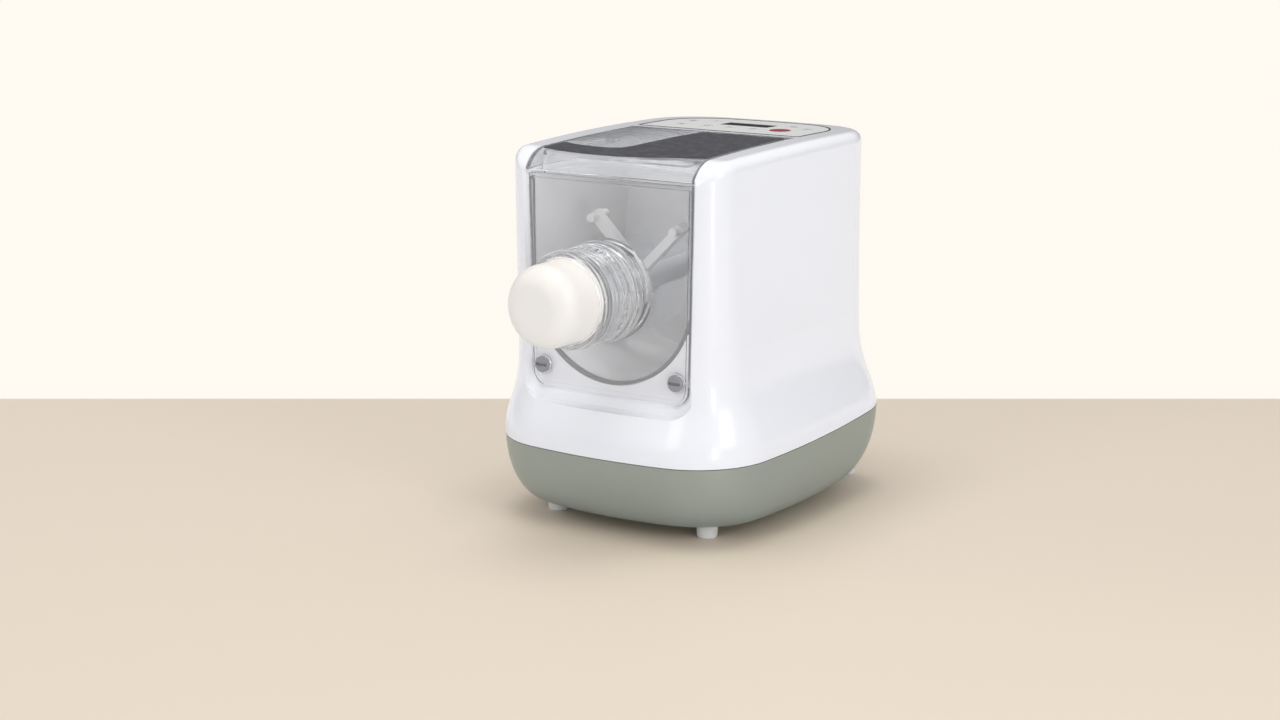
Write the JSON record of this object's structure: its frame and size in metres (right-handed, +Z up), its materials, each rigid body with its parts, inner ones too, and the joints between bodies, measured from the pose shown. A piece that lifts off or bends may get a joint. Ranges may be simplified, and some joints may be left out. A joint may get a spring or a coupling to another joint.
{
  "type": "electric pasta maker",
  "caption": "Countertop electric pasta maker: upright body with a clear mixing chamber and lid in front, a projecting extrusion nozzle, and a keypad on top behind the lid.",
  "frame": {"origin": "middle of the footprint of the whole object, nozzle included, at table height", "axes": "+Z up; -Y is the direction that the nozzle points in; +X is on the right of someone who looks at the nozzle"},
  "size_m": [0.243, 0.3734, 0.3003],
  "materials": {
    "housing_white": "gloss",
    "tub_green": "satin",
    "clear_plastic": "gloss",
    "liner_plastic": "satin",
    "cream_plastic": "satin",
    "screw_plastic": "satin",
    "seal_rubber": "matte",
    "foot_silicone": "satin",
    "plate_plastic": "satin",
    "trim_plastic": "satin",
    "key_plastic": "satin",
    "red_plastic": "gloss",
    "display_black": "gloss",
    "steel": "satin",
    "gear_plastic": "satin",
    "brass": "satin",
    "case_plastic": "matte",
    "zinc": "satin",
    "magnet": "matte",
    "copper": "satin",
    "board_green": "satin",
    "electronics": "satin",
    "wire": "matte"
  },
  "bodies": {
    "machine": {"upper_housing": "housing_white", "base_tub": "tub_green", "feet": "foot_silicone", "chamber_liner": "liner_plastic", "mixing_bowl": "clear_plastic", "bowl_seal": "seal_rubber", "shaft_seal": "seal_rubber", "gear_case": "case_plastic", "gear_cover": "case_plastic", "output_bearings": "steel", "idler_bushes": "brass", "motor_can": "steel", "motor_end_cap": "zinc", "motor_magnets": "magnet", "motor_bushes": "brass", "lid_hinge_pins": "steel", "lid_switch": "electronics", "control_trim": "trim_plastic", "control_plate": "plate_plastic", "display_window": "display_black", "display_module": "electronics", "key_switches": "electronics", "control_board": "board_green", "board_screws": "steel", "inlet_pins": "brass", "inlet_socket": "electronics", "power_board": "board_green", "power_board_parts": "electronics", "ribbon_cable": "wire", "liner_screws": "steel", "pan_head_screws": "steel", "motor_screws": "steel", "base_screws": "steel"},
    "lid": {"lid": "clear_plastic", "lid_magnet": "magnet"},
    "front_panel": {"front_panel": "clear_plastic"},
    "panel_post_left": {"panel_post_left": "zinc"},
    "panel_post_right": {"panel_post_right": "zinc"},
    "die": {"pasta_die": "cream_plastic", "die_seal": "seal_rubber"},
    "ring": {"retaining_ring": "clear_plastic"},
    "drive": {"mixing_rod": "screw_plastic", "output_shaft": "steel", "output_gear": "gear_plastic"},
    "idler": {"idler_gear": "gear_plastic", "idler_shaft": "steel"},
    "rotor": {"motor_shaft": "steel", "motor_pinion": "brass", "rotor_core": "magnet", "rotor_windings": "copper", "cooling_fan": "case_plastic"},
    "start_key": {"start_key": "red_plastic"},
    "key_program": {"key_program": "key_plastic"},
    "key_shape": {"key_shape": "key_plastic"},
    "key_water": {"key_water": "key_plastic"},
    "key_weight": {"key_weight": "key_plastic"},
    "key_mixing": {"key_mixing": "key_plastic"},
    "key_extrude": {"key_extrude": "key_plastic"},
    "key_menu": {"key_menu": "key_plastic"},
    "key_power": {"key_power": "key_plastic"}
  },
  "joints": [
    {"name": "lid_hinge", "type": "hinge", "parent": "machine", "child": "lid", "pos_m": [0, 0.06025, 0.29595], "axis": [-1, 0, 0], "range_deg": [0, 80]},
    {"name": "panel_slide", "type": "slide", "parent": "machine", "child": "front_panel", "axis": [0, -1, 0], "range_m": [0, 0.12]},
    {"name": "post_left_turn", "type": "hinge", "parent": "front_panel", "child": "panel_post_left", "pos_m": [-0.062, -0.08875, 0.1275], "axis": [0, -1, 0], "range_deg": [0, 90]},
    {"name": "post_right_turn", "type": "hinge", "parent": "front_panel", "child": "panel_post_right", "pos_m": [0.062, -0.08875, 0.1275], "axis": [0, -1, 0], "range_deg": [0, 90]},
    {"name": "die_slide", "type": "slide", "parent": "front_panel", "child": "die", "axis": [0, -1, 0], "range_m": [0, 0.008]},
    {"name": "ring_turn", "type": "hinge", "parent": "die", "child": "ring", "pos_m": [0, -0.12275, 0.1935], "axis": [0, -1, 0], "range_deg": [0, 720]},
    {"name": "drive_spin", "type": "hinge", "parent": "machine", "child": "drive", "pos_m": [0, -0.03275, 0.1935], "axis": [0, -1, 0], "continuous": true},
    {"name": "idler_spin", "type": "hinge", "parent": "machine", "child": "idler", "pos_m": [0, 0.06725, 0.1375], "axis": [0, -1, 0], "continuous": true},
    {"name": "rotor_spin", "type": "hinge", "parent": "machine", "child": "rotor", "pos_m": [0, 0.10725, 0.0925], "axis": [0, -1, 0], "continuous": true},
    {"name": "start_press", "type": "slide", "parent": "machine", "child": "start_key", "axis": [0, 0, -1], "range_m": [0, 0.0006], "stiffness_N_per_m": 900},
    {"name": "key_program_press", "type": "slide", "parent": "machine", "child": "key_program", "axis": [0, 0, -1], "range_m": [0, 0.0005], "stiffness_N_per_m": 600},
    {"name": "key_shape_press", "type": "slide", "parent": "machine", "child": "key_shape", "axis": [0, 0, -1], "range_m": [0, 0.0005], "stiffness_N_per_m": 600},
    {"name": "key_water_press", "type": "slide", "parent": "machine", "child": "key_water", "axis": [0, 0, -1], "range_m": [0, 0.0005], "stiffness_N_per_m": 600},
    {"name": "key_weight_press", "type": "slide", "parent": "machine", "child": "key_weight", "axis": [0, 0, -1], "range_m": [0, 0.0005], "stiffness_N_per_m": 600},
    {"name": "key_mixing_press", "type": "slide", "parent": "machine", "child": "key_mixing", "axis": [0, 0, -1], "range_m": [0, 0.0005], "stiffness_N_per_m": 600},
    {"name": "key_extrude_press", "type": "slide", "parent": "machine", "child": "key_extrude", "axis": [0, 0, -1], "range_m": [0, 0.0005], "stiffness_N_per_m": 600},
    {"name": "key_menu_press", "type": "slide", "parent": "machine", "child": "key_menu", "axis": [0, 0, -1], "range_m": [0, 0.0005], "stiffness_N_per_m": 600},
    {"name": "key_power_press", "type": "slide", "parent": "machine", "child": "key_power", "axis": [0, 0, -1], "range_m": [0, 0.0005], "stiffness_N_per_m": 600}
  ],
  "couplings": [
    {"joint": "idler_spin", "follows": "drive_spin", "ratio": -3},
    {"joint": "rotor_spin", "follows": "drive_spin", "ratio": 12},
    {"joint": "die_slide", "follows": "ring_turn", "m_per_rad": 0.00063662}
  ]
}
